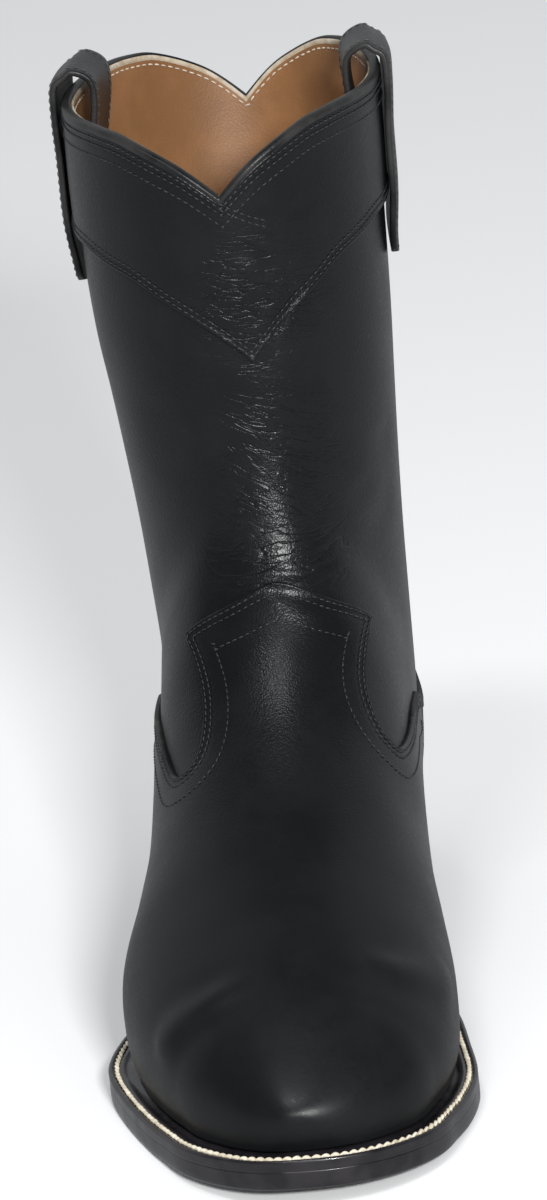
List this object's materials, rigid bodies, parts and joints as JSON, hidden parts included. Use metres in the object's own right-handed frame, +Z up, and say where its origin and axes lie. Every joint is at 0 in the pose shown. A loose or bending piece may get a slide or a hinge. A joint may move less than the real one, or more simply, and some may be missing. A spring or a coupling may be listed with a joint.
{
  "type": "roper boot",
  "caption": "Black leather pull-on roper boot with a short V-dipped shaft, side pull straps, scalloped vamp, welted sole and low block heel.",
  "frame": {"origin": "middle of the whole boot's bounding box in plan, at floor height", "axes": "+X to the medial side of this right boot, -Y to the toe, +Y to the heel, +Z up; metres"},
  "size_m": [0.1123, 0.3045, 0.2898],
  "materials": {
    "shaft_leather": "smooth black shaft leather with a soft gloss",
    "vamp_leather": "smooth black foot leather, polished at the toe",
    "strap_leather": "smooth black strap leather with stitched edges",
    "tan_lining": "smooth tan lining leather, fine grain",
    "sole_edge": "black dressed leather edge, satin",
    "heel_rubber": "matte black rubber"
  },
  "bodies": {
    "root": {"upper": "shaft_leather", "vamp": "vamp_leather", "counter": "vamp_leather", "collar_band": "shaft_leather", "pull_strap_medial": "strap_leather", "pull_strap_lateral": "strap_leather", "insole": "tan_lining", "welt": "sole_edge", "outsole": "sole_edge", "heel": "sole_edge", "heel_cap": "heel_rubber"}
  },
  "joints": []
}
